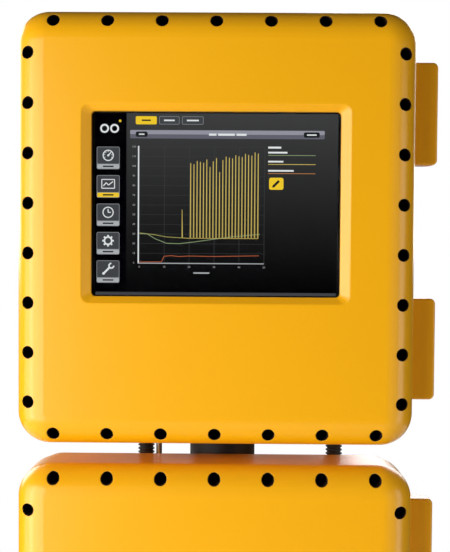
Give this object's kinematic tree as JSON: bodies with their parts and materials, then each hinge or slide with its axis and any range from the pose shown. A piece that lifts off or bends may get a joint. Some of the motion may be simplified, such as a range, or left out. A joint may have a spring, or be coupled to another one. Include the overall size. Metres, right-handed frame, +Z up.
{
  "type": "flash point analyser",
  "caption": "Online flash point analyser in two stacked flameproof enclosures, with hinged screwed doors, a windowed display, joining conduits and a heated measuring cell.",
  "frame": {"origin": "on the rear mounting plane, halfway between the two enclosures", "axes": "+Z up, +X to the right seen from the front, the doors face -Y, +Y points into the wall"},
  "size_m": [0.534, 0.27, 1.1175],
  "materials": {
    "yellow_paint": "gloss",
    "black_conduit": "satin",
    "steel": "satin",
    "black_oxide_steel": "satin",
    "zinc_plate": "satin",
    "bare_aluminium": "satin",
    "black_aluminium": "satin",
    "brass": "satin",
    "seal_rubber": "matte",
    "window_glass": "polished",
    "display_panel": "gloss",
    "circuit_board": "satin",
    "grey_plastic": "satin",
    "black_plastic": "satin",
    "white_ceramic": "satin"
  },
  "bodies": {
    "enclosures": {"upper_housing": "yellow_paint", "lower_housing": "yellow_paint", "upper_housing_seal": "seal_rubber", "lower_housing_seal": "seal_rubber", "upper_hinge_frame_leaves": "yellow_paint", "lower_hinge_frame_leaves": "yellow_paint", "housing_screws": "black_oxide_steel", "mounting_lugs": "yellow_paint", "centre_conduit": "black_conduit", "centre_conduit_collars": "black_aluminium", "ribbed_conduits": "black_conduit", "conduit_glands": "black_aluminium", "instrument_tube": "steel", "instrument_tube_fittings": "steel", "upper_mounting_plate": "zinc_plate", "lower_mounting_plate": "zinc_plate", "standoffs": "brass", "power_supply": "bare_aluminium", "controller_board": "circuit_board", "controller_heat_sink": "black_aluminium", "terminal_rail": "zinc_plate", "terminal_blocks": "grey_plastic", "cell_block": "bare_aluminium", "test_cup": "brass", "heater_cartridges": "steel", "cell_heat_sink": "bare_aluminium", "guide_posts": "steel", "sample_pump": "steel", "pump_motor": "black_aluminium", "valve_manifold": "bare_aluminium", "solenoid_valves": "black_plastic", "preheater": "bare_aluminium", "sample_tubes": "steel", "heated_sample_tubes": "steel", "flame_arrestors": "steel", "cable_gland": "brass"},
    "upper_door": {"upper_door": "yellow_paint", "upper_hinge_door_leaves": "yellow_paint", "upper_hinge_pins": "steel", "upper_door_hinge_screws": "black_oxide_steel", "window_seal": "seal_rubber", "window_glass": "window_glass", "window_clamp_frame": "black_aluminium", "window_clamp_screws": "black_oxide_steel", "display_module": "display_panel", "display_bracket": "zinc_plate"},
    "upper_door_screws": {"upper_door_screws": "black_oxide_steel"},
    "lower_door": {"lower_door": "yellow_paint", "lower_hinge_door_leaves": "yellow_paint", "lower_hinge_pins": "steel", "lower_door_hinge_screws": "black_oxide_steel"},
    "lower_door_screws": {"lower_door_screws": "black_oxide_steel"},
    "cell_lid": {"cell_lid": "bare_aluminium", "igniter": "white_ceramic", "flash_detector": "steel", "temperature_probe": "steel", "stirrer_motor": "bare_aluminium"},
    "stirrer": {"stirrer": "steel"},
    "pump_coupling": {"pump_coupling": "steel"}
  },
  "joints": [
    {"name": "upper_door_hinge", "type": "hinge", "parent": "enclosures", "child": "upper_door", "pos_m": [0.267, -0.158, 0.2835], "axis": [0, 0, 1], "range_deg": [0, 110]},
    {"name": "upper_screw_travel", "type": "slide", "parent": "upper_door", "child": "upper_door_screws", "axis": [0, 1, 0], "range_m": [0, 0.0155]},
    {"name": "lower_door_hinge", "type": "hinge", "parent": "enclosures", "child": "lower_door", "pos_m": [0.267, -0.158, -0.2835], "axis": [0, 0, 1], "range_deg": [0, 110]},
    {"name": "lower_screw_travel", "type": "slide", "parent": "lower_door", "child": "lower_door_screws", "axis": [0, 1, 0], "range_m": [0, 0.0155]},
    {"name": "cell_lid_lift", "type": "slide", "parent": "enclosures", "child": "cell_lid", "axis": [0, 0, 1], "range_m": [0, 0.09]},
    {"name": "stirrer_spin", "type": "hinge", "parent": "cell_lid", "child": "stirrer", "pos_m": [0.06, -0.107, -0.27], "axis": [0, 0, 1], "continuous": true},
    {"name": "pump_spin", "type": "hinge", "parent": "enclosures", "child": "pump_coupling", "pos_m": [-0.097, -0.09, -0.2235], "axis": [1, 0, 0], "continuous": true}
  ]
}
